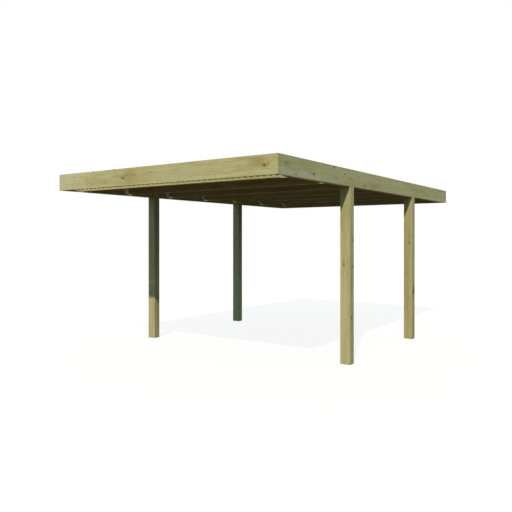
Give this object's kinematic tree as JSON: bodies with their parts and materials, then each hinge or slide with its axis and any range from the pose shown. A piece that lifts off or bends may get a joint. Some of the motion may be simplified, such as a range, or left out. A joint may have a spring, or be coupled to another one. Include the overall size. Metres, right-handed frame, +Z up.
{
  "type": "open timber carport",
  "caption": "Open timber carport: a deep flat frame on notched posts, rafters on joist hangers and corrugated sheets between the fascias.",
  "frame": {"origin": "the middle of the base, level with the undersides of the posts", "axes": "+X to the right seen from the front, +Y from the front towards the rear, +Z up"},
  "size_m": [3.2, 5.16, 2.22],
  "materials": {
    "treated_timber": "planed, pressure-treated softwood with a green tint",
    "galvanised_steel": "hot-dip galvanised, dull",
    "roof_sheet": "opaque corrugated sheet, dark and matt"
  },
  "bodies": {
    "root": {"fascia_front": "treated_timber", "fascia_left": "treated_timber", "fascia_rear": "treated_timber", "fascia_right": "treated_timber", "hanger_left_1": "galvanised_steel", "hanger_left_2": "galvanised_steel", "hanger_left_3": "galvanised_steel", "hanger_left_4": "galvanised_steel", "hanger_left_5": "galvanised_steel", "hanger_left_6": "galvanised_steel", "hanger_left_7": "galvanised_steel", "hanger_right_1": "galvanised_steel", "hanger_right_2": "galvanised_steel", "hanger_right_3": "galvanised_steel", "hanger_right_4": "galvanised_steel", "hanger_right_5": "galvanised_steel", "hanger_right_6": "galvanised_steel", "hanger_right_7": "galvanised_steel", "post_front_left": "treated_timber", "post_front_right": "treated_timber", "post_rear_left": "treated_timber", "post_rear_right": "treated_timber", "rafter_1": "treated_timber", "rafter_2": "treated_timber", "rafter_3": "treated_timber", "rafter_4": "treated_timber", "rafter_5": "treated_timber", "rafter_6": "treated_timber", "rafter_7": "treated_timber", "roof_sheet_1": "roof_sheet", "roof_sheet_2": "roof_sheet", "roof_sheet_3": "roof_sheet", "side_beam_left": "treated_timber", "side_beam_right": "treated_timber"}
  },
  "joints": []
}
